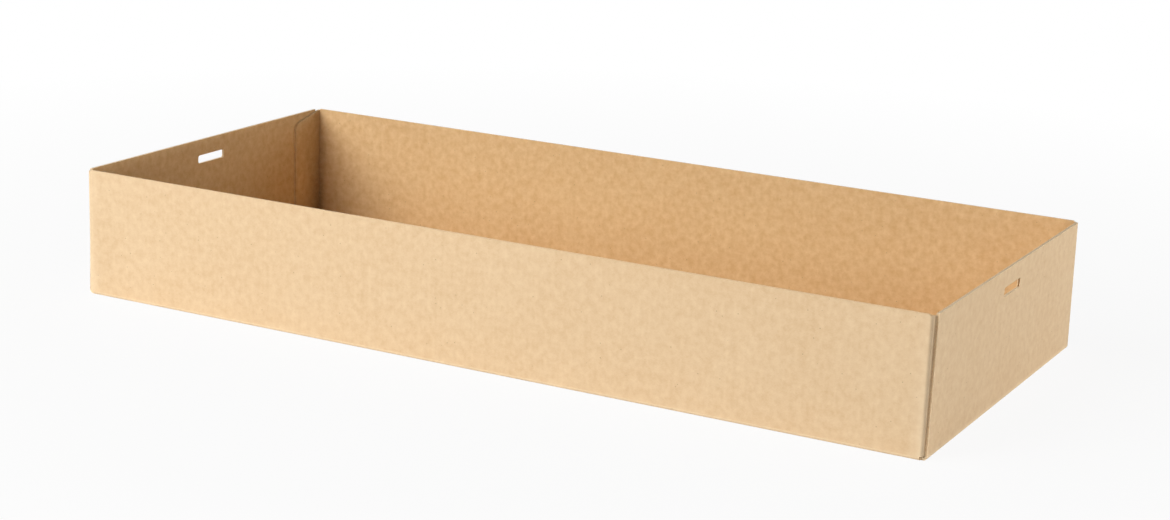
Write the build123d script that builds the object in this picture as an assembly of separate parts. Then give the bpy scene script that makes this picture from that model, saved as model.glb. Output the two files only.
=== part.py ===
from build123d import *
from math import radians, tan
import os

# Open tray of kraft corrugated board: one die-cut blank, folded up and glued at its four corners.
# Millimetres. +X runs along the length, +Y to the back and +Z up.
# The origin is the middle of the underside.

# Outside of the folded tray
tray_length = 560.0
tray_width = 252.0
tray_height = 80.0

# Board
board_thickness = 1.6
crease_radius = 0.4  # inside of every fold

# Glue tabs: hinged to the long walls, glued to the inner faces of the end walls
tab_length = 30.0  # from the long wall's outer face to the tab's free edge
tab_top_trim = 0.6  # rim to the tab's hinge
tab_bottom_gap = 0.3  # base folds to the tab's hinge
tab_taper_angle = 12.0  # slope of the tab's upper and lower edges
tab_corner_radius = 6.0

# End walls: their cut side edges start inside the long walls' folds and lean in towards the rim
end_edge_setback = 0.4  # beside the fold, at the base
end_edge_lean = 2.0  # more at the rim

# Slots that take the tabs of a lid, one in the middle of each end wall
slot_length = 28.0
slot_height = 5.5
slot_drop = 10.5  # rim to the slot's upper edge
slot_corner_radius = 1.5

# How far a cutter passes the faces that it cuts
cut_overrun = 1.0

# Sizes that follow from the ones above
fold_radius = crease_radius + board_thickness  # outside of every fold
inside_length = tray_length - 2 * board_thickness  # between the end walls
tab_root_bottom = fold_radius + tab_bottom_gap
tab_root_top = tray_height - tab_top_trim


def channel_section(width, height):
    """U of board standing on the X axis: a flat bottom, two folds and two walls."""
    outside = Pos(0, height / 2) * Rectangle(width, height)
    outside = fillet(outside.vertices().group_by(Axis.Y)[0], fold_radius)
    hollow = Pos(0, height / 2 + board_thickness) * Rectangle(width - 2 * board_thickness, height)
    hollow = fillet(hollow.vertices().group_by(Axis.Y)[0], crease_radius)
    return outside - hollow


def base_with_long_walls():
    """Base panel with the long walls folded up, as long as their flat part between the tabs' folds."""
    section = Plane.YZ * channel_section(tray_width, tray_height)
    return extrude(section, inside_length / 2 - fold_radius, both=True)


def end_wall_outline():
    """End view of an end wall: straight cut edges, closer together at the rim than at the base."""
    base_half = tray_width / 2 - fold_radius - end_edge_setback
    rim_half = base_half - end_edge_lean
    return make_face(
        Polyline(
            (-base_half, 0),
            (base_half, 0),
            (rim_half, tray_height),
            (-rim_half, tray_height),
            close=True,
        )
    )


def base_with_end_walls():
    """Base panel with the two end walls folded up, cut to their outline."""
    section = Plane.XZ * channel_section(tray_length, tray_height)
    channel = extrude(section, tray_width / 2, both=True)
    end_view = extrude(Plane.YZ * end_wall_outline(), tray_length / 2, both=True)
    return channel & end_view


def tab_outline():
    """End view of the front wall's tabs: straight at the fold, tapered to a rounded free edge."""
    front_face = -tray_width / 2
    fold_line = front_face + fold_radius
    free_edge = front_face + tab_length
    taper = (tab_length - fold_radius) * tan(radians(tab_taper_angle))
    outline = make_face(
        Polyline(
            (front_face, tab_root_bottom),
            (front_face, tab_root_top),
            (fold_line, tab_root_top),
            (free_edge, tab_root_top - taper),
            (free_edge, tab_root_bottom + taper),
            (fold_line, tab_root_bottom),
            close=True,
        )
    )
    return fillet(outline.vertices().group_by(Axis.X)[-1], tab_corner_radius)


def corner_tabs():
    """Both tabs of the front wall, folded in to lie flat on the end walls."""
    plan = Pos(0, -tray_width / 2) * channel_section(inside_length, tab_length)
    bent_strip = extrude(plan, tray_height)
    end_view = extrude(Plane.YZ * tab_outline(), tray_length / 2, both=True)
    return bent_strip & end_view


def lid_slots():
    """Cutter for the slots of both end walls, in one bar along the tray."""
    slot_centre = tray_height - slot_drop - slot_height / 2
    outline = RectangleRounded(slot_length, slot_height, slot_corner_radius)
    outline = Plane.YZ * Pos(0, slot_centre) * outline
    return extrude(outline, tray_length / 2 + cut_overrun, both=True)


def tray():
    """The whole folded and glued tray, one sheet of board."""
    front_tabs = corner_tabs()
    back_tabs = mirror(front_tabs, about=Plane.XZ)
    folded = base_with_long_walls() + base_with_end_walls() + front_tabs + back_tabs
    return folded - lid_slots()


os.makedirs("parts", exist_ok=True)
export_step(tray(), "parts/tray.step")
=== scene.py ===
import math

import bmesh
import bpy
from mathutils import Matrix, Vector


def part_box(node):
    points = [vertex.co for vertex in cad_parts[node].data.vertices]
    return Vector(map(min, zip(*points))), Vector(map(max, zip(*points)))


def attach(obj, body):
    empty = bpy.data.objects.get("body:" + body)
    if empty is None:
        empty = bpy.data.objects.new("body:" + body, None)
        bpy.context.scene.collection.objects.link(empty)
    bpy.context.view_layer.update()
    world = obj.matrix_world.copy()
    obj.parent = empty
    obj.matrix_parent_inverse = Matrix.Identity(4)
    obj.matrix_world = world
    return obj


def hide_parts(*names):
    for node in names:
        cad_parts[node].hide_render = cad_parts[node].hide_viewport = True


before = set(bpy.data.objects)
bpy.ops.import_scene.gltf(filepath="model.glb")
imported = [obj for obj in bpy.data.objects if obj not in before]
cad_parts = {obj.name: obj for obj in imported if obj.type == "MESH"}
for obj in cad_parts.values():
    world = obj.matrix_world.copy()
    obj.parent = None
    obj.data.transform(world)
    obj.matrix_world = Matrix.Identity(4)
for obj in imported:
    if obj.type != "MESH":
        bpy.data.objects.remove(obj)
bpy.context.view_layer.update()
trayLow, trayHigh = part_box("tray")
mm = 0.001
nearby = 0.01 * mm  # two places closer than this are the same
print("frame loaded")

# one sheet of board, folded up on its outer face
board = {
    "thickness": 1.6 * mm,
    "creaseRadius": 0.4 * mm,  # inside of a fold
    "foldSteps": 6,
    "foldMargin": 8 * mm,  # flat strip beside a fold, where its wear and painted shade fade out
    "tabMargin": 22 * mm,  # the same on a tab
    "baseMargin": 2 * mm,  # and at the foot of an end wall
    "rimFade": 0.5,  # share of a fold's wear and painted shade that is lost at the rim
    "endEdgeSetback": 0.4 * mm,  # end wall's cut edge inside the long wall's fold, at the base
    "endEdgeLean": 2 * mm,  # and how much further in at the rim
    "glueLine": 0.03 * mm,  # between a tab and the end wall
    "tabLength": 30 * mm,
    "tabTopTrim": 0.6 * mm,
    "tabBottomGap": 0.3 * mm,
    "tabTaper": math.radians(12),
    "tabCornerRadius": 6 * mm,
    "tabCrush": 1.1 * mm,  # a tab's inner edge, pressed down by the gluing
    "crushSteps": 3,
    "slotLength": 28 * mm,
    "slotHeight": 5.5 * mm,
    "slotDrop": 10.5 * mm,  # rim to the slot's upper edge
    "slotCornerRadius": 1.5 * mm,
    "slotMargin": 4 * mm,  # patch of wall round the slot
    "cornerSteps": 6,
    "smoothAngle": math.radians(30),  # folds are shaded round, cut edges stay sharp
}
foldRadius = board["creaseRadius"] + board["thickness"]
trayLength = trayHigh.x - trayLow.x
trayWidth = trayHigh.y - trayLow.y
trayHeight = trayHigh.z - trayLow.z
flatHalfX = trayLength / 2 - foldRadius  # flat part of the base
flatHalfY = trayWidth / 2 - foldRadius
longHalfX = flatHalfX - board["thickness"] - board["glueLine"]  # flat part of a long wall
endHalfY = flatHalfY - board["endEdgeSetback"]  # end wall at the base
tabRootBottom = foldRadius + board["tabBottomGap"]
tabRootTop = trayHeight - board["tabTopTrim"]
tabReach = board["tabLength"] - foldRadius
tabDrop = tabReach * math.tan(board["tabTaper"])
quarterTurn = foldRadius * math.pi / 2  # outer face round a fold
slotTop = trayHeight - board["slotDrop"]
slotMiddle = slotTop - board["slotHeight"] / 2
patchHalfY = board["slotLength"] / 2 + board["slotMargin"]
patchLow = slotMiddle - board["slotHeight"] / 2 - board["slotMargin"]
patchHigh = slotTop + board["slotMargin"]


def deselectAll():
    bpy.ops.object.select_all(action="DESELECT")


def makeActive(piece):
    deselectAll()
    piece.select_set(True)
    bpy.context.view_layer.objects.active = piece


def startEdit(piece):
    makeActive(piece)
    bpy.ops.object.mode_set(mode="EDIT")


def endEdit():
    bpy.ops.object.mode_set(mode="OBJECT")


def pick(piece, kind, test):
    bpy.ops.mesh.select_mode(type=kind)
    bpy.ops.mesh.select_all(action="DESELECT")
    mesh = bmesh.from_edit_mesh(piece.data)
    parts = {"VERT": mesh.verts, "EDGE": mesh.edges, "FACE": mesh.faces}[kind]
    for part in parts:
        part.select_set(test(part))
    mesh.select_flush_mode()
    bmesh.update_edit_mesh(piece.data)


def middle(part):
    return sum((v.co for v in part.verts), Vector()) / len(part.verts)


def near(a, b):
    return abs(a - b) < nearby


def cutAcross(place, normal):
    bpy.ops.mesh.select_all(action="SELECT")
    bpy.ops.mesh.bisect(plane_co=place, plane_no=normal)


def extrudeBy(x, y, z):
    bpy.ops.mesh.extrude_region_move(TRANSFORM_OT_translate={"value": (x, y, z)})


def spinFold(centre, axis, angle):
    bpy.ops.mesh.spin(steps=board["foldSteps"], angle=angle, center=centre, axis=axis)


def applyModifier(piece, kind, **values):
    modifier = piece.modifiers.new(kind.title(), kind)
    for name, value in values.items():
        setattr(modifier, name, value)
    makeActive(piece)
    bpy.ops.object.modifier_apply(modifier=modifier.name)


# base panel, lying on its outer face
def makeBase():
    deselectAll()
    bpy.ops.mesh.primitive_plane_add(size=2)
    sheet = bpy.context.object
    sheet.name = "tray_board"
    startEdit(sheet)
    bpy.ops.transform.resize(value=(flatHalfX, flatHalfY, 1))
    for side in (-1, 1):
        for x in (longHalfX, longHalfX - board["foldMargin"]):
            cutAcross((side * x, 0, 0), (1, 0, 0))
        for y in (endHalfY, endHalfY - board["foldMargin"], patchHalfY):
            cutAcross((0, side * y, 0), (0, 1, 0))
    pick(sheet, "FACE", lambda f: abs(middle(f).x) > longHalfX and abs(middle(f).y) > endHalfY)
    bpy.ops.mesh.delete(type="FACE")  # corner notches
    return sheet


def foldUpEndWall(sheet, side):
    pick(sheet, "EDGE", lambda e: near(middle(e).x, side * flatHalfX) and near(middle(e).z, 0))
    spinFold((side * flatHalfX, 0, foldRadius), (0, 1, 0), side * math.pi / 2)
    levels = (foldRadius + board["baseMargin"], patchLow, patchHigh, trayHeight)
    bottom = foldRadius
    for top in levels:
        extrudeBy(0, 0, top - bottom)
        bottom = top
    for top in levels:  # the cut edges lean in
        lean = board["endEdgeLean"] * top / trayHeight
        for sideY in (-1, 1):
            pick(
                sheet,
                "VERT",
                lambda v: near(v.co.x, side * trayLength / 2)
                and near(v.co.y, sideY * endHalfY)
                and near(v.co.z, top),
            )
            bpy.ops.transform.translate(value=(0, -sideY * lean, 0))


# rounded hole in the patch of wall that was left for it
def openSlot(sheet, side):
    face = side * trayLength / 2

    def inPatch(part):
        place = middle(part)
        inHeight = patchLow - nearby < place.z < patchHigh + nearby
        return near(place.x, face) and abs(place.y) < patchHalfY + nearby and inHeight

    pick(sheet, "FACE", inPatch)
    bpy.ops.mesh.delete(type="ONLY_FACE")
    centre = (face, 0, slotMiddle)
    bpy.ops.mesh.select_all(action="DESELECT")
    bpy.ops.mesh.primitive_plane_add(size=1, location=centre, rotation=(0, math.pi / 2, 0))
    bpy.ops.transform.resize(
        value=(1, board["slotLength"], board["slotHeight"]),
        center_override=centre,
    )
    bpy.ops.mesh.bevel(
        affect="VERTICES",
        offset=board["slotCornerRadius"],
        segments=board["cornerSteps"],
    )
    pick(sheet, "FACE", inPatch)
    bpy.ops.mesh.delete(type="ONLY_FACE")
    pick(sheet, "EDGE", lambda e: inPatch(e) and len(e.link_faces) < 2)
    bpy.ops.mesh.fill()


def foldUpLongWall(sheet, sideY):
    pick(
        sheet,
        "EDGE",
        lambda e: near(middle(e).y, sideY * flatHalfY)
        and near(middle(e).z, 0)
        and abs(middle(e).x) < longHalfX,
    )
    spinFold((0, sideY * flatHalfY, foldRadius), (1, 0, 0), -sideY * math.pi / 2)
    for rise in (board["tabBottomGap"], tabRootTop - tabRootBottom, board["tabTopTrim"]):
        extrudeBy(0, 0, rise)


def foldInTab(sheet, side, sideY):
    pick(
        sheet,
        "EDGE",
        lambda e: near(e.verts[0].co.x, side * longHalfX)
        and near(e.verts[1].co.x, side * longHalfX)
        and near(middle(e).y, sideY * trayWidth / 2)
        and tabRootBottom < middle(e).z < tabRootTop,
    )
    spinFold((side * longHalfX, sideY * flatHalfY, 0), (0, 0, 1), side * sideY * math.pi / 2)
    freeEdge = sideY * (flatHalfY - tabReach)
    extrudeBy(0, -sideY * board["tabMargin"], 0)
    extrudeBy(0, -sideY * (tabReach - board["tabMargin"]), 0)
    for reach in (board["tabMargin"], tabReach):  # tapered edges
        line = sideY * (flatHalfY - reach)
        drop = tabDrop * reach / tabReach
        for z, shift in ((tabRootTop, -drop), (tabRootBottom, drop)):
            pick(
                sheet,
                "VERT",
                lambda v: near(v.co.y, line) and v.co.x * side > longHalfX and near(v.co.z, z),
            )
            bpy.ops.transform.translate(value=(0, 0, shift))
    cornerAngle = math.pi / 2 + board["tabTaper"]
    pick(sheet, "VERT", lambda v: near(v.co.y, freeEdge) and v.co.x * side > longHalfX)
    bpy.ops.mesh.bevel(
        affect="VERTICES",
        offset=board["tabCornerRadius"] / math.tan(cornerAngle / 2),
        segments=board["cornerSteps"],
    )


def isTab(place):
    inside = longHalfX + nearby < abs(place.x) < trayLength / 2 - board["thickness"] / 2
    return inside and place.z > tabRootBottom - nearby


# where a point of the folded sheet lies on the flat blank
def unfold(place):
    x, y, z = place
    signX, signY = math.copysign(1, x), math.copysign(1, y)
    bend = math.acos(max(-1, min(1, 1 - z / foldRadius)))
    risen = foldRadius * bend if z < foldRadius else quarterTurn + z - foldRadius
    if isTab(place):
        turned = math.atan2(abs(x) - longHalfX, max(0, abs(y) - flatHalfY))
        past = foldRadius * turned + max(0, flatHalfY - abs(y))
        return signX * (longHalfX + past), signY * (flatHalfY + risen)
    if abs(y) > flatHalfY + nearby:
        return x, signY * (flatHalfY + risen)
    if abs(x) > flatHalfX + nearby:
        return signX * (flatHalfX + risen), y
    return x, y


# whether a place on the blank is on a fold: end walls, long walls, tabs
def onFold(u, v):
    def turns(place, start):
        return start - nearby < abs(place) < start + quarterTurn + nearby

    endFold = turns(u, flatHalfX) and abs(v) < endHalfY + nearby
    longFold = turns(v, flatHalfY) and abs(u) < longHalfX + nearby
    tabFold = turns(u, longHalfX) and abs(v) > flatHalfY + quarterTurn + nearby
    return endFold or longFold or tabFold


# the blank's own coordinates as a UV map, and a mask on every fold for its wear and painted shade,
# fading towards the rim
def markBlank(sheet):
    mesh = sheet.data
    for layer in list(mesh.uv_layers):
        mesh.uv_layers.remove(layer)
    blank = mesh.uv_layers.new(name="blank")
    for loop in mesh.loops:
        blank.data[loop.index].uv = unfold(mesh.vertices[loop.vertex_index].co)
    crease = mesh.attributes.new("crease", "FLOAT", "POINT")
    for vertex in mesh.vertices:
        strength = 1 - board["rimFade"] * vertex.co.z / trayHeight
        crease.data[vertex.index].value = strength if onFold(*unfold(vertex.co)) else 0.0


# one sheet whose normals point out of the tray; the base shows which way they went
def turnOutwards(sheet):
    bpy.ops.mesh.select_all(action="SELECT")
    bpy.ops.mesh.remove_doubles(threshold=nearby)
    bpy.ops.mesh.normals_make_consistent(inside=False)
    base = [f for f in bmesh.from_edit_mesh(sheet.data).faces if near(middle(f).z, 0)]
    if base[0].normal.z > 0:
        bpy.ops.mesh.flip_normals()


sheet = makeBase()
for side in (-1, 1):
    foldUpEndWall(sheet, side)
    openSlot(sheet, side)
for sideY in (-1, 1):
    foldUpLongWall(sheet, sideY)
    for side in (-1, 1):
        foldInTab(sheet, side, sideY)
turnOutwards(sheet)
endEdit()
markBlank(sheet)
print("sheet folded:", len(sheet.data.polygons), "faces")


# colours are linear; a pattern's sizes are in millimetres on the flat blank
kraft = {
    "outer": {  # stretched pale over a fold, and painted light that lifts the fold's shade
        "colour": (0.806, 0.587, 0.357),
        "mottle": 1.3,
        "shift": (0, 0, 0),
        "foldWearAndShadeColour": (0.97, 0.77, 0.52),
        "foldWearAndShadeShare": 0.75,
    },
    "inner": {  # painted shade: dark in the inside corners along every fold
        "colour": (0.785, 0.53, 0.272),
        "mottle": 2.0,
        "shift": (311, 173, 40),
        "foldWearAndShadeColour": (0.12, 0.066, 0.03),
        "foldWearAndShadeShare": 0.75,
    },
    "edge": {"colour": (0.94, 0.74, 0.49)},
    "flutes": {"colour": (0.91, 0.70, 0.45)},
    "spread": (0.10, 0.16, 0.235),  # how far the pulp strays from a colour: darker is browner
    "fleck": (0.33, 0.19, 0.09),
    "fleckShare": 0.5,
    "mottleSize": 5.0,
    "fibre": 0.3,
    "ribPitch": 3.4,
    "ribTone": 0.04,
    "ribHeight": 0.25,
    "roughness": (0.82, 0.95),
    "gloss": 0.22,
    "bump": {"Strength": 0.6, "Distance": 0.03 * mm},
    "cut": {  # coarser where the board is cut
        "mottleSize": 1.3,
        "mottle": 1.6,
        "fibre": 0.8,
        "roughness": 0.95,
        "bump": {"Strength": 0.7, "Distance": 0.05 * mm},
    },
}
neutral = 0.5  # the middle of a pattern, where it changes nothing
mixFactor, mixFirst, mixSecond, mixResult = 0, 6, 7, 2  # a mix node's sockets for colours


def addNode(tree, kind, settings=None, **inputs):
    node = tree.nodes.new(kind)
    for name, value in (settings or {}).items():
        setattr(node, name, value)
    for name, value in inputs.items():
        node.inputs[name].default_value = value
    return node


def math2(tree, operation, first, second):
    node = addNode(tree, "ShaderNodeMath", {"operation": operation})
    for socket, value in zip(node.inputs, (first, second)):
        if isinstance(value, (int, float)):
            socket.default_value = value
        else:
            tree.links.new(value, socket)
    return node.outputs[0]


def mixColours(tree, factor, first, second):
    node = addNode(tree, "ShaderNodeMix", {"data_type": "RGBA"})
    for index, value in ((mixFactor, factor), (mixFirst, first), (mixSecond, second)):
        socket = node.inputs[index]
        if isinstance(value, (int, float)):
            socket.default_value = value
        elif isinstance(value, tuple):
            socket.default_value = (*value, 1)
        else:
            tree.links.new(value, socket)
    return node.outputs[mixResult]


def newGroup(name, inputs, outputs):
    group = bpy.data.node_groups.new(name, "ShaderNodeTree")
    for label, kind in inputs.items():
        group.interface.new_socket(label, in_out="INPUT", socket_type="NodeSocket" + kind)
    for label, kind in outputs.items():
        group.interface.new_socket(label, in_out="OUTPUT", socket_type="NodeSocket" + kind)
    return group, group.nodes.new("NodeGroupInput"), group.nodes.new("NodeGroupOutput")


# pulp: broad clouds, speckle, dust, short fibres and flecks
pulpPattern = {
    "cloud": {"Scale": 0.022, "Detail": 2.0},
    "cloudShare": 0.3,
    "speckle": {"Detail": 3.0, "Roughness": 0.62},
    "dust": {"Scale": 1.1, "Detail": 2.0, "Roughness": 0.6},
    "dustShare": 0.7,
    "strand": {"Scale": 1.0, "Detail": 1.0},
    "strandLays": ((0.35, 7.0), (-0.5, 19.0)),  # turn and place of each layer of fibres
    "strandStretch": (0.8, 3.0, 1),
    "fleckCells": {"Scale": 0.23, "Randomness": 1.0},
    "fleckRadius": 0.075,
    "fleckFrom": 0.55,  # a cell that draws more than this holds a fleck
}


def paperGroup():
    inputs = {"Place": "Vector", "Mottle Size": "Float", "Mottle": "Float", "Fibre": "Float"}
    outputs = {"Tone": "Float", "Fleck": "Float", "Height": "Float"}
    group, given, made = newGroup("paper_pulp", inputs, outputs)
    cloud = addNode(group, "ShaderNodeTexNoise", **pulpPattern["cloud"])
    speckle = addNode(group, "ShaderNodeTexNoise", **pulpPattern["speckle"])
    fine = addNode(group, "ShaderNodeTexNoise", **pulpPattern["dust"])
    size = math2(group, "DIVIDE", 1.0, given.outputs["Mottle Size"])
    group.links.new(size, speckle.inputs["Scale"])
    for node in (cloud, speckle, fine):
        group.links.new(given.outputs["Place"], node.inputs["Vector"])
    fibres = []
    for turn, shift in pulpPattern["strandLays"]:
        lay = addNode(group, "ShaderNodeMapping")
        lay.inputs["Rotation"].default_value = (0, 0, turn)
        lay.inputs["Location"].default_value = (shift, shift, 0)
        lay.inputs["Scale"].default_value = pulpPattern["strandStretch"]
        strand = addNode(group, "ShaderNodeTexNoise", **pulpPattern["strand"])
        group.links.new(given.outputs["Place"], lay.inputs["Vector"])
        group.links.new(lay.outputs["Vector"], strand.inputs["Vector"])
        fibres.append(math2(group, "SUBTRACT", strand.outputs["Fac"], neutral))
    fibre = math2(group, "ADD", *fibres)
    clouds = math2(group, "SUBTRACT", cloud.outputs["Fac"], neutral)
    clouds = math2(group, "MULTIPLY", clouds, pulpPattern["cloudShare"])
    grain = math2(group, "SUBTRACT", speckle.outputs["Fac"], neutral)
    dust = math2(group, "SUBTRACT", fine.outputs["Fac"], neutral)
    dust = math2(group, "MULTIPLY", dust, pulpPattern["dustShare"])
    tone = math2(group, "ADD", neutral, clouds)
    tone = math2(group, "ADD", tone, math2(group, "MULTIPLY", grain, given.outputs["Mottle"]))
    strands = math2(group, "MULTIPLY", math2(group, "ADD", fibre, dust), given.outputs["Fibre"])
    tone = math2(group, "ADD", tone, strands)
    cells = addNode(group, "ShaderNodeTexVoronoi", **pulpPattern["fleckCells"])
    group.links.new(given.outputs["Place"], cells.inputs["Vector"])
    dot = math2(group, "LESS_THAN", cells.outputs["Distance"], pulpPattern["fleckRadius"])
    lot = addNode(group, "ShaderNodeSeparateColor")
    group.links.new(cells.outputs["Color"], lot.inputs["Color"])
    chosen = math2(group, "GREATER_THAN", lot.outputs["Red"], pulpPattern["fleckFrom"])
    fleck = math2(group, "MULTIPLY", dot, chosen)
    group.links.new(tone, made.inputs["Tone"])
    group.links.new(fleck, made.inputs["Fleck"])
    group.links.new(math2(group, "ADD", grain, fibre), made.inputs["Height"])
    return group


# flutes that show through the facing as soft ribs, not quite straight
ribPattern = {"drift": {"Scale": 0.012, "Detail": 1.0}, "sway": 2.0}


def ribGroup():
    inputs = {"Place": "Vector", "Pitch": "Float"}
    group, given, made = newGroup("flute_ribs", inputs, {"Rib": "Float"})
    axes = addNode(group, "ShaderNodeSeparateXYZ")
    drift = addNode(group, "ShaderNodeTexNoise", **ribPattern["drift"])
    group.links.new(given.outputs["Place"], axes.inputs["Vector"])
    group.links.new(given.outputs["Place"], drift.inputs["Vector"])
    sway = math2(group, "MULTIPLY", drift.outputs["Fac"], ribPattern["sway"])
    along = math2(group, "ADD", axes.outputs["X"], sway)
    turned = math2(group, "MULTIPLY", along, 2 * math.pi)
    angle = math2(group, "DIVIDE", turned, given.outputs["Pitch"])
    wave = math2(group, "MULTIPLY", math2(group, "SINE", angle, 0.0), neutral)
    group.links.new(math2(group, "ADD", wave, neutral), made.inputs["Rib"])  # from 0 to 1
    return group


# how strongly a fold's wear and painted shade show, most in its crease
wearAndShadePattern = {
    "patch": {"Scale": 0.5, "Detail": 4.0, "Roughness": 0.7},
    "patchFrom": 0.35,
    "patchTo": 0.7,
    "least": 0.6,  # wear and painted shade between the patches
    "falloff": 1.5,
}


def foldWearAndShadeGroup():
    inputs = {"Place": "Vector", "Crease": "Float"}
    group, given, made = newGroup("fold_wear_and_shade", inputs, {"Wear And Shade": "Float"})
    patch = addNode(group, "ShaderNodeTexNoise", **wearAndShadePattern["patch"])
    group.links.new(given.outputs["Place"], patch.inputs["Vector"])
    rough = addNode(group, "ShaderNodeMapRange")
    rough.inputs["From Min"].default_value = wearAndShadePattern["patchFrom"]
    rough.inputs["From Max"].default_value = wearAndShadePattern["patchTo"]
    rough.inputs["To Min"].default_value = wearAndShadePattern["least"]
    group.links.new(patch.outputs["Fac"], rough.inputs["Value"])
    closeBy = math2(group, "POWER", given.outputs["Crease"], wearAndShadePattern["falloff"])
    wearAndShadeMask = math2(group, "MULTIPLY", rough.outputs["Result"], closeBy)
    group.links.new(wearAndShadeMask, made.inputs["Wear And Shade"])
    return group


groups = {"paper": paperGroup(), "ribs": ribGroup(), "fold": foldWearAndShadeGroup()}


def useGroup(tree, name, **inputs):
    node = tree.nodes.new("ShaderNodeGroup")
    node.node_tree = groups[name]
    for label, value in inputs.items():
        socket = node.inputs[label.replace("_", " ")]
        if isinstance(value, (int, float)):
            socket.default_value = value
        else:
            tree.links.new(value, socket)
    return node


def newMaterial(name):
    material = bpy.data.materials.new(name)
    material.use_nodes = True
    return material, material.node_tree, material.node_tree.nodes["Principled BSDF"]


def inMillimetres(tree, source, shift=(0, 0, 0)):
    scale = addNode(tree, "ShaderNodeMapping")
    scale.inputs["Scale"].default_value = (1 / mm, 1 / mm, 1 / mm)
    scale.inputs["Location"].default_value = shift
    tree.links.new(source, scale.inputs["Vector"])
    return scale.outputs["Vector"]


# the pulp's colour at a tone between 0 and 1
def pulpColour(tree, tone, paper):
    dark = tuple(c * (1 - s) for c, s in zip(paper["colour"], kraft["spread"]))
    light = tuple(c * (1 + s) for c, s in zip(paper["colour"], kraft["spread"]))
    return mixColours(tree, tone, dark, light)


# kraft facing, patterned on the blank
def linerMaterial(name, paper):
    material, tree, shader = newMaterial(name)
    blank = addNode(tree, "ShaderNodeUVMap", {"uv_map": "blank"})
    place = inMillimetres(tree, blank.outputs["UV"], paper["shift"])
    crease = addNode(tree, "ShaderNodeAttribute", {"attribute_name": "crease"})
    pulp = useGroup(
        tree,
        "paper",
        Place=place,
        Mottle_Size=kraft["mottleSize"],
        Mottle=paper["mottle"],
        Fibre=kraft["fibre"],
    )
    ribs = useGroup(tree, "ribs", Place=place, Pitch=kraft["ribPitch"])
    fold = useGroup(tree, "fold", Place=place, Crease=crease.outputs["Fac"])
    ribTone = math2(tree, "SUBTRACT", ribs.outputs["Rib"], neutral)
    ribTone = math2(tree, "MULTIPLY", ribTone, kraft["ribTone"])
    colour = pulpColour(tree, math2(tree, "ADD", pulp.outputs["Tone"], ribTone), paper)
    fleck = math2(tree, "MULTIPLY", pulp.outputs["Fleck"], kraft["fleckShare"])
    colour = mixColours(tree, fleck, colour, kraft["fleck"])
    # fold colour: painted shade on the inner liner, paler wear plus painted light on the outer
    # liner
    wearAndShadeAmount = math2(tree, "MULTIPLY", fold.outputs["Wear And Shade"], paper["foldWearAndShadeShare"])
    colour = mixColours(tree, wearAndShadeAmount, colour, paper["foldWearAndShadeColour"])
    tree.links.new(colour, shader.inputs["Base Color"])
    rough = addNode(tree, "ShaderNodeMapRange")
    smoothest, roughest = kraft["roughness"]
    rough.inputs["To Min"].default_value = smoothest
    rough.inputs["To Max"].default_value = roughest
    tree.links.new(pulp.outputs["Tone"], rough.inputs["Value"])
    tree.links.new(rough.outputs["Result"], shader.inputs["Roughness"])
    shader.inputs["Specular IOR Level"].default_value = kraft["gloss"]
    ribHeight = math2(tree, "MULTIPLY", ribs.outputs["Rib"], kraft["ribHeight"])
    height = math2(tree, "ADD", pulp.outputs["Height"], ribHeight)
    bump = addNode(tree, "ShaderNodeBump", **kraft["bump"])
    tree.links.new(height, bump.inputs["Height"])
    tree.links.new(bump.outputs["Normal"], shader.inputs["Normal"])
    return material


# torn pulp on a cut edge, and the wavy paper inside
def edgeMaterial(name, paper):
    cut = kraft["cut"]
    material, tree, shader = newMaterial(name)
    spot = addNode(tree, "ShaderNodeTexCoord")
    place = inMillimetres(tree, spot.outputs["Object"])
    pulp = useGroup(
        tree,
        "paper",
        Place=place,
        Mottle_Size=cut["mottleSize"],
        Mottle=cut["mottle"],
        Fibre=cut["fibre"],
    )
    tree.links.new(pulpColour(tree, pulp.outputs["Tone"], paper), shader.inputs["Base Color"])
    shader.inputs["Roughness"].default_value = cut["roughness"]
    shader.inputs["Specular IOR Level"].default_value = kraft["gloss"]
    bump = addNode(tree, "ShaderNodeBump", **cut["bump"])
    tree.links.new(pulp.outputs["Height"], bump.inputs["Height"])
    tree.links.new(bump.outputs["Normal"], shader.inputs["Normal"])
    return material


outerSlot, innerSlot, edgeSlot, fluteSlot = range(4)
sheet.data.materials.append(linerMaterial("outer_liner", kraft["outer"]))
sheet.data.materials.append(linerMaterial("inner_liner", kraft["inner"]))
sheet.data.materials.append(edgeMaterial("cut_edge", kraft["edge"]))
sheet.data.materials.append(edgeMaterial("flute_paper", kraft["flutes"]))
applyModifier(
    sheet,
    "SOLIDIFY",
    thickness=board["thickness"],
    offset=-1,
    use_even_offset=True,
    use_rim=True,
    material_offset=innerSlot,
    material_offset_rim=edgeSlot,
)
print("board thickened:", len(sheet.data.polygons), "faces")


def crushTabs(sheet):
    tabInside = longHalfX + foldRadius - board["thickness"]

    def isTabEdge(edge):
        flat = near(abs(middle(edge).x), tabInside) and abs(middle(edge).y) < flatHalfY - nearby
        return flat and {f.material_index for f in edge.link_faces} == {innerSlot, edgeSlot}

    startEdit(sheet)
    pick(sheet, "EDGE", isTabEdge)
    bpy.ops.mesh.bevel(
        affect="EDGES",
        offset=board["tabCrush"],
        segments=board["crushSteps"],
        material=innerSlot,
    )
    endEdit()


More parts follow.
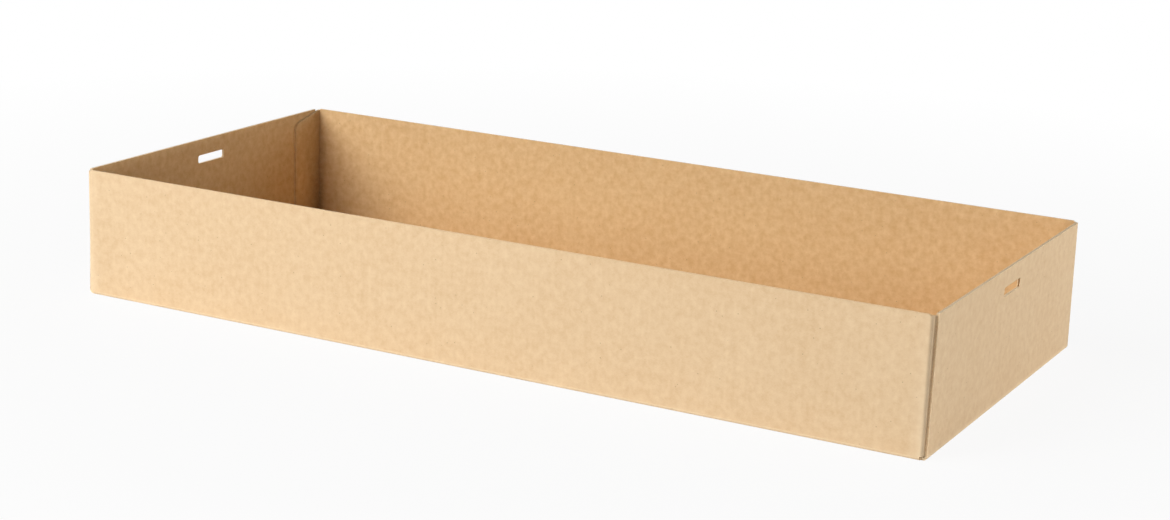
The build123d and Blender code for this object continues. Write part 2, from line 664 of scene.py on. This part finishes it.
# what shows on a cut edge: two facings with the wavy middle paper between them
flute = {
    "liner": 0.28 * mm,
    "paper": 0.22 * mm,
    "pitch": kraft["ribPitch"] * mm,
    "stepsPerWave": 8,
    "openDepth": 0.35 * mm,
    "slotDepth": 2.5 * mm,  # flutes that end in a slot stay open
    "slotEndShare": 0.7,  # part of a slot's rounded corner that belongs to its end
    "setback": 0.06 * mm,  # middle paper below the facings' edges
    "sideways": 0.9,  # least sideways part of the normal on an end wall's side edge
}
fluteSwing = (board["thickness"] - 2 * flute["liner"] - flute["paper"]) / 2


def onEndWall(place):
    return abs(place.x) > trayLength / 2 - board["thickness"] and place.z > foldRadius


# cuts across the flutes: the long rims and the end walls' sides
def isCutSide(face):
    place = middle(face)
    longRim = near(place.z, trayHeight) and abs(place.x) < longHalfX
    turnedAside = abs(face.normal.y) > flute["sideways"]
    endSide = onEndWall(place) and turnedAside and abs(place.y) > patchHalfY
    return longRim or endSide


def inSlot(place):
    inLength = abs(place.y) < board["slotLength"] / 2 + nearby
    return inLength and abs(place.z - slotMiddle) < board["slotHeight"] / 2 + nearby


def isSlotEnd(face):
    place = middle(face)
    endStart = board["slotLength"] / 2 - board["slotCornerRadius"] * flute["slotEndShare"]
    return onEndWall(place) and abs(place.y) > endStart and inSlot(place)


# a groove between the facings
def openCutEdges(sheet, test, depth):
    startEdit(sheet)
    pick(sheet, "FACE", lambda f: f.material_index == edgeSlot and test(f))
    bpy.ops.mesh.inset(thickness=flute["liner"], use_even_offset=True)
    bpy.ops.mesh.inset(thickness=nearby, depth=-depth, use_even_offset=True)
    sheet.active_material_index = fluteSlot
    bpy.ops.object.material_slot_assign()
    endEdit()


# wavy paper along a cut edge; its width goes into the board, square to along and across
def addFlutes(start, end, across):
    along = (end - start).normalized()
    inward = along.cross(across).normalized()
    waves = max(1, round((end - start).length / flute["pitch"]))
    steps = waves * flute["stepsPerWave"]
    stepLength = (end - start).length / steps
    depth = flute["openDepth"] - flute["setback"]
    deselectAll()
    bpy.ops.mesh.primitive_grid_add(x_subdivisions=steps, y_subdivisions=1, size=1, calc_uvs=False)
    strip = bpy.context.object
    startEdit(strip)
    bpy.ops.transform.resize(value=(stepLength * steps, depth, 1))
    bpy.ops.transform.translate(value=(stepLength * steps / 2, depth / 2 + flute["setback"], 0))
    for phase in range(1, flute["stepsPerWave"]):
        swing = fluteSwing * math.sin(2 * math.pi * phase / flute["stepsPerWave"])
        pick(strip, "VERT", lambda v: round(v.co.x / stepLength) % flute["stepsPerWave"] == phase)
        bpy.ops.transform.translate(value=(0, 0, swing))
    endEdit()
    applyModifier(strip, "SOLIDIFY", thickness=flute["paper"], offset=0)
    strip.data.materials.append(sheet.data.materials[fluteSlot])
    turn = Matrix((along, inward, across)).transposed().to_4x4()
    strip.matrix_world = Matrix.Translation(start) @ turn
    makeActive(strip)
    bpy.ops.object.transform_apply(location=True, rotation=True, scale=True)
    return strip


# where the wavy paper runs, inside the grooves
def fluteEdges():
    wallY = trayWidth / 2 - board["thickness"] / 2
    wallX = trayLength / 2 - board["thickness"] / 2
    rimX = longHalfX - flute["liner"]
    lowest = foldRadius + flute["liner"]
    highest = trayHeight - 2 * flute["liner"]
    for sideY in (-1, 1):
        rim = [Vector((x, sideY * wallY, trayHeight)) for x in (-rimX, rimX)]
        yield (*rim, Vector((0, -1, 0)))
        for side in (-1, 1):
            sideEdge = []
            for z in (lowest, highest):
                y = sideY * (endHalfY - board["endEdgeLean"] * z / trayHeight)
                sideEdge.append(Vector((side * wallX, y, z)))
            yield (*sideEdge, Vector((-sideY, 0, 0)))


crushTabs(sheet)
openCutEdges(sheet, isCutSide, flute["openDepth"])
openCutEdges(sheet, isSlotEnd, flute["slotDepth"])
strips = [addFlutes(*edge) for edge in fluteEdges()]
makeActive(sheet)
for strip in strips:
    strip.select_set(True)
bpy.ops.object.join()
makeActive(sheet)
bpy.ops.object.shade_smooth_by_angle(angle=board["smoothAngle"])
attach(sheet, "root")
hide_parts("tray")
print("cut edges fluted:", len(sheet.data.polygons), "faces")

# camera, found from the seven outer corners in the photograph
cameraView = {
    "place": (0.658997, -1.234353, 0.407331),
    "turnDegrees": (75.2387, -2.0875, 28.3682),
    "lens": 71.8345,
    "sensor": 36,
}


def makeCamera():
    deselectAll()
    turn = [math.radians(a) for a in cameraView["turnDegrees"]]
    bpy.ops.object.camera_add(location=cameraView["place"], rotation=turn)
    camera = bpy.context.object
    camera.data.lens = cameraView["lens"]
    camera.data.sensor_width = cameraView["sensor"]
    bpy.context.scene.camera = camera


# rays that see the white ground as the camera does
def seesWhite(tree):
    rays = addNode(tree, "ShaderNodeLightPath")
    seen = math2(tree, "MAXIMUM", rays.outputs["Is Camera Ray"], rays.outputs["Is Glossy Ray"])
    return math2(tree, "MAXIMUM", seen, rays.outputs["Is Transmission Ray"])


# white paper: its shadow shows near the tray and fades out further away
floor = {
    "size": 14.0,
    "colour": (0.8, 0.8, 0.8),
    "nearShare": 0.92,  # plain white in what the camera sees; the rest is lit paper
    "fadeFrom": 0.35,
    "fadeTo": 0.9,
}


def makeFloor():
    deselectAll()
    bpy.ops.mesh.primitive_plane_add(size=floor["size"])
    plane = bpy.context.object
    plane.name = "floor"
    material, tree, shader = newMaterial("floor_paper")
    shader.inputs["Base Color"].default_value = (*floor["colour"], 1)
    shader.inputs["Roughness"].default_value = 1
    shader.inputs["Specular IOR Level"].default_value = 0
    white = addNode(tree, "ShaderNodeEmission")
    mix = addNode(tree, "ShaderNodeMixShader")
    spot = addNode(tree, "ShaderNodeTexCoord")
    away = addNode(tree, "ShaderNodeVectorMath", {"operation": "LENGTH"})
    tree.links.new(spot.outputs["Object"], away.inputs[0])
    share = addNode(tree, "ShaderNodeMapRange")
    share.inputs["From Min"].default_value = floor["fadeFrom"]
    share.inputs["From Max"].default_value = floor["fadeTo"]
    share.inputs["To Min"].default_value = floor["nearShare"]
    share.inputs["To Max"].default_value = 1.0
    tree.links.new(away.outputs["Value"], share.inputs["Value"])
    whiteShare = math2(tree, "MULTIPLY", seesWhite(tree), share.outputs["Result"])
    tree.links.new(whiteShare, mix.inputs[0])
    tree.links.new(shader.outputs[0], mix.inputs[1])
    tree.links.new(white.outputs[0], mix.inputs[2])
    tree.links.new(mix.outputs[0], tree.nodes["Material Output"].inputs["Surface"])
    plane.data.materials.append(material)


lights = {
    "key": {
        "place": (-1.25, -1.2, 1.8),
        "aim": (0, 0, 0.04),
        "size": (1.8, 1.8),
        "watts": 30.0,
    },
    "side": {
        "place": (-0.9, -2.1, 0.9),
        "aim": (0, 0, 0.04),
        "size": (1.4, 1.0),
        "watts": 31.5,
    },
    "front": {
        "place": (1.4, -1.8, 0.45),
        "aim": (0.2, 0, 0.04),
        "size": (1.4, 0.8),
        "watts": 4.5,
    },
    "backStrip": {
        "place": (1.6, 1.5, 0.06),
        "aim": (0.28, 0, 0.06),
        "size": (1.8, 0.12),
        "watts": 22.5,
    },
    "backFill": {
        "place": (1.2, 1.8, 1.0),
        "aim": (0.1, 0, 0.06),
        "size": (1.4, 1.0),
        "watts": 5.5,
    },
    "rightFill": {
        "place": (2.1, 0.9, 0.35),
        "aim": (0.28, 0, 0.06),
        "size": (1.6, 0.5),
        "watts": 8.5,
    },
}


def makeLights():
    for name, lamp in lights.items():
        deselectAll()
        place = Vector(lamp["place"])
        aim = (Vector(lamp["aim"]) - place).to_track_quat("-Z", "Y").to_euler()
        bpy.ops.object.light_add(type="AREA", location=place, rotation=aim)
        light = bpy.context.object
        light.name = name
        light.data.shape = "RECTANGLE"
        light.data.size, light.data.size_y = lamp["size"]
        light.data.energy = lamp["watts"]
        light.visible_camera = False


room = {"strength": 0.02}


def makeWorld():
    world = bpy.data.worlds.new("studio")
    bpy.context.scene.world = world
    world.use_nodes = True
    tree = world.node_tree
    back = tree.nodes["Background"]
    level = addNode(tree, "ShaderNodeMix", {"data_type": "FLOAT"})
    level.inputs["A"].default_value = room["strength"]
    level.inputs["B"].default_value = 1.0
    tree.links.new(seesWhite(tree), level.inputs["Factor"])
    tree.links.new(level.outputs["Result"], back.inputs["Strength"])
    back.inputs["Color"].default_value = (1, 1, 1, 1)


makeCamera()
makeFloor()
makeLights()
makeWorld()
bpy.context.scene.view_settings.view_transform = "Standard"
print("scene ready")
